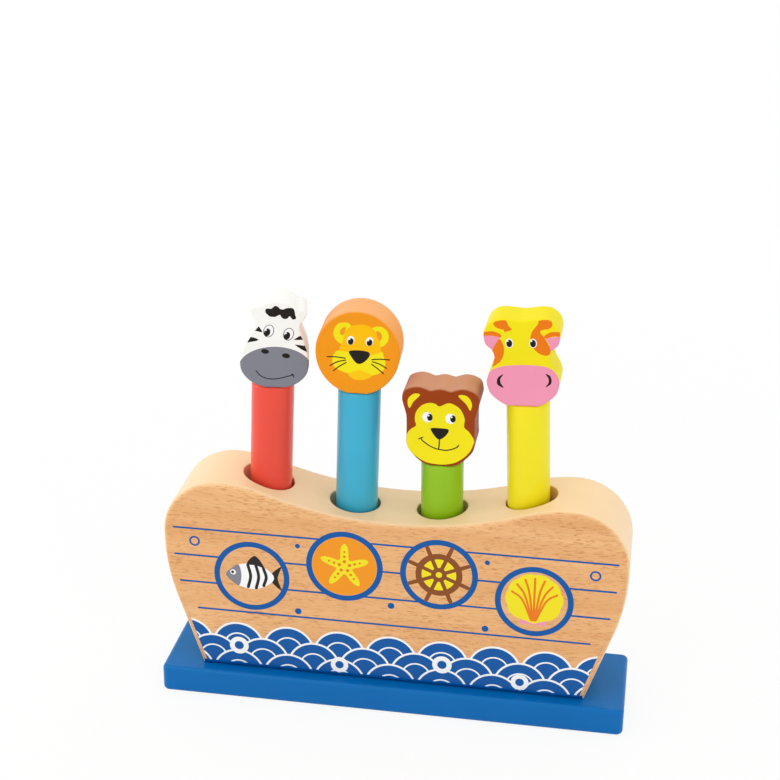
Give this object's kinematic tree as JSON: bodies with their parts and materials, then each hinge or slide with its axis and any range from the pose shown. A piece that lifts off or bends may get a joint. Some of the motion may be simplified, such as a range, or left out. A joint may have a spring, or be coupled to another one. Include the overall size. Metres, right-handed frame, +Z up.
{
  "type": "pop up animal toy",
  "caption": "Wooden pop-up toy: pegs with painted animal heads stand on springs in a boat-shaped beech block on a flat base; each presses down, springs back, turns and lifts out",
  "frame": {"origin": "under the middle of the base plate, on the surface that the toy stands on", "axes": "+X to the right along the toy, -Y to the front where the faces look, +Z up"},
  "size_m": [0.22, 0.0516, 0.1967],
  "materials": {
    "beech": "clear lacquered beech with short dark flecks",
    "blue_paint": "gloss blue paint on wood",
    "white_paint": "gloss white paint on wood with a printed face",
    "orange_paint": "gloss orange paint on wood with a printed face",
    "brown_paint": "gloss brown paint on wood with a printed face",
    "yellow_head_paint": "gloss yellow paint on wood with a printed face",
    "red_peg_paint": "gloss red paint on wood",
    "blue_peg_paint": "gloss light blue paint on wood",
    "green_peg_paint": "gloss green paint on wood",
    "yellow_peg_paint": "gloss yellow paint on wood",
    "bare_wood": "bare beech, inside",
    "spring_steel": "drawn steel wire",
    "screw_steel": "bright zinc-plated steel"
  },
  "bodies": {
    "boat": {"base_plate": "blue_paint", "hull": "beech", "screw_left": "screw_steel", "screw_middle": "screw_steel", "screw_right": "screw_steel", "zebra_staples": "spring_steel", "lion_staples": "spring_steel", "monkey_staples": "spring_steel", "giraffe_staples": "spring_steel"},
    "zebra_spring": {"zebra_spring": "spring_steel"},
    "zebra_rise": {"zebra_pin": "bare_wood"},
    "zebra_peg": {"zebra_dowel": "red_peg_paint", "zebra_head": "white_paint"},
    "lion_spring": {"lion_spring": "spring_steel"},
    "lion_rise": {"lion_pin": "bare_wood"},
    "lion_peg": {"lion_dowel": "blue_peg_paint", "lion_head": "orange_paint"},
    "monkey_spring": {"monkey_spring": "spring_steel"},
    "monkey_rise": {"monkey_pin": "bare_wood"},
    "monkey_peg": {"monkey_dowel": "green_peg_paint", "monkey_head": "brown_paint"},
    "giraffe_spring": {"giraffe_spring": "spring_steel"},
    "giraffe_rise": {"giraffe_pin": "bare_wood"},
    "giraffe_peg": {"giraffe_dowel": "yellow_peg_paint", "giraffe_head": "yellow_head_paint"}
  },
  "joints": [
    {"name": "zebra_press", "type": "slide", "parent": "boat", "child": "zebra_spring", "axis": [0.0341, 0, 0.9994], "range_m": [-0.045, 0], "stiffness_N_per_m": 280, "springref_m": 0.001, "deforming": ["zebra_spring"]},
    {"name": "zebra_lift", "type": "slide", "parent": "zebra_spring", "child": "zebra_rise", "axis": [0.0341, 0, 0.9994], "range_m": [0, 0.04]},
    {"name": "zebra_turn", "type": "hinge", "parent": "zebra_rise", "child": "zebra_peg", "pos_m": [-0.06033, 0, 0.10698], "axis": [0.0341, 0, 0.9994], "continuous": true},
    {"name": "lion_press", "type": "slide", "parent": "boat", "child": "lion_spring", "axis": [0.0208, 0, 0.9998], "range_m": [-0.055, 0], "stiffness_N_per_m": 280, "springref_m": 0.001, "deforming": ["lion_spring"]},
    {"name": "lion_lift", "type": "slide", "parent": "lion_spring", "child": "lion_rise", "axis": [0.0208, 0, 0.9998], "range_m": [0, 0.04]},
    {"name": "lion_turn", "type": "hinge", "parent": "lion_rise", "child": "lion_peg", "pos_m": [-0.01978, 0, 0.09755], "axis": [0.0208, 0, 0.9998], "continuous": true},
    {"name": "monkey_press", "type": "slide", "parent": "boat", "child": "monkey_spring", "axis": [-0.0127, 0, 0.9999], "range_m": [-0.023, 0], "stiffness_N_per_m": 280, "springref_m": 0.001, "deforming": ["monkey_spring"]},
    {"name": "monkey_lift", "type": "slide", "parent": "monkey_spring", "child": "monkey_rise", "axis": [-0.0127, 0, 0.9999], "range_m": [0, 0.04]},
    {"name": "monkey_turn", "type": "hinge", "parent": "monkey_rise", "child": "monkey_peg", "pos_m": [0.02027, 0, 0.09755], "axis": [-0.0127, 0, 0.9999], "continuous": true},
    {"name": "giraffe_press", "type": "slide", "parent": "boat", "child": "giraffe_spring", "axis": [-0.0446, 0, 0.999], "range_m": [-0.045, 0], "stiffness_N_per_m": 280, "springref_m": 0.001, "deforming": ["giraffe_spring"]},
    {"name": "giraffe_lift", "type": "slide", "parent": "giraffe_spring", "child": "giraffe_rise", "axis": [-0.0446, 0, 0.999], "range_m": [0, 0.04]},
    {"name": "giraffe_turn", "type": "hinge", "parent": "giraffe_rise", "child": "giraffe_peg", "pos_m": [0.05997, 0, 0.10698], "axis": [-0.0446, 0, 0.999], "continuous": true}
  ]
}
